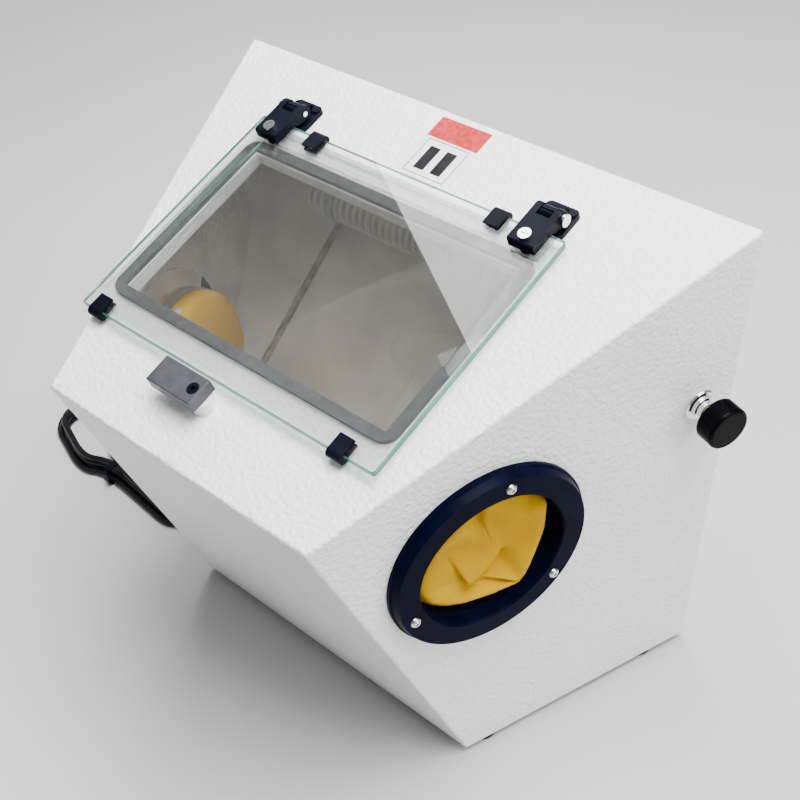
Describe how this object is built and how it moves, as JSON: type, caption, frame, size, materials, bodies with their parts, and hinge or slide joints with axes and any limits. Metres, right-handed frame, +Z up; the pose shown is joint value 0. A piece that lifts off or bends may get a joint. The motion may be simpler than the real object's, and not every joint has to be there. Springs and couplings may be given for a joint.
{
  "type": "sandblast cabinet",
  "caption": "Bench sandblast cabinet: sloping top with a hinged glass lid, side glove ports, air valve, blast gun, dust outlet and mains lead.",
  "frame": {"origin": "on the floor the feet stand on, under the middle of the overall box without the mains lead", "axes": "+Z up; -Y towards the operator, the low nose of the cabinet; +X to the right side, which carries the valve knob"},
  "size_m": [0.6668, 0.3492, 0.405],
  "materials": {
    "white_paint": "powder coat, fine orange peel",
    "chute_paint": "dusty, worn",
    "gasket_foam": "closed-cell foam",
    "clear_glass": "polished",
    "clear_film": "clear",
    "black_satin": "satin",
    "foot_rubber": "matte",
    "steel": "satin",
    "chrome": "polished",
    "brass": "satin",
    "gun_alloy": "satin",
    "ceramic": "matte",
    "latch_grey": "satin",
    "nylon": "translucent",
    "ring_black": "satin",
    "glove_yellow": "matte rubber",
    "black_gloss": "gloss",
    "lamp_lens": "frosted",
    "label_print": "printed film",
    "duct_grey": "satin"
  },
  "bodies": {
    "cabinet": {"air_inlet": "brass", "air_pipe": "brass", "back_panel": "white_paint", "back_screws": "steel", "base_panel": "white_paint", "cable_gland": "black_satin", "chute_plate": "chute_paint", "cord_hank": "black_gloss", "cord_tie": "black_satin", "cuff_clamp_left": "steel", "cuff_clamp_right": "steel", "duct_clips": "steel", "extraction_duct": "duct_grey", "feet": "foot_rubber", "foot_nuts": "steel", "front_panel": "white_paint", "glove_collar_left": "ring_black", "glove_collar_right": "ring_black", "glove_left": "glove_yellow", "glove_right": "glove_yellow", "glove_ring_left": "ring_black", "glove_ring_right": "ring_black", "gun_body": "gun_alloy", "gun_mount": "black_satin", "gun_nozzle": "ceramic", "hinge_base_left": "black_satin", "hinge_base_right": "black_satin", "hinge_base_screws": "steel", "hinge_pins": "chrome", "label_plate": "label_print", "lamp_housing": "gun_alloy", "lamp_lens": "lamp_lens", "latch_screw": "steel", "latch_spacer": "nylon", "outlet_elbow": "black_satin", "outlet_flange": "black_satin", "plug_body": "black_gloss", "plug_lead": "black_gloss", "plug_pins": "chrome", "power_cord": "black_gloss", "ring_screws_left": "steel", "ring_screws_right": "steel", "side_panel_left": "white_paint", "side_panel_right": "white_paint", "top_panel": "white_paint", "valve_body": "brass", "valve_flange": "chrome", "window_gasket": "gasket_foam"},
    "lid": {"glass_pane": "clear_glass", "protective_film": "clear_film", "edge_clips": "black_satin", "hinge_leaf_left": "black_satin", "hinge_leaf_right": "black_satin", "hinge_clamp_screws": "chrome", "clamp_pads": "black_satin"},
    "latch": {"latch_block": "latch_grey"},
    "knob": {"valve_knob": "black_gloss", "valve_stem": "brass"}
  },
  "joints": [
    {"name": "lid_hinge", "type": "hinge", "parent": "cabinet", "child": "lid", "pos_m": [0, 0.07938, 0.39834], "axis": [-1, 0, 0], "range_deg": [0, 115]},
    {"name": "latch_swivel", "type": "hinge", "parent": "cabinet", "child": "latch", "pos_m": [-0.01828, -0.13637, 0.32995], "axis": [0, -0.319, 0.9478], "continuous": true},
    {"name": "valve_turn", "type": "hinge", "parent": "cabinet", "child": "knob", "pos_m": [0.22795, 0.09964, 0.27522], "axis": [0.9492, -0.3123, -0.038], "range_deg": [0, 300]}
  ]
}
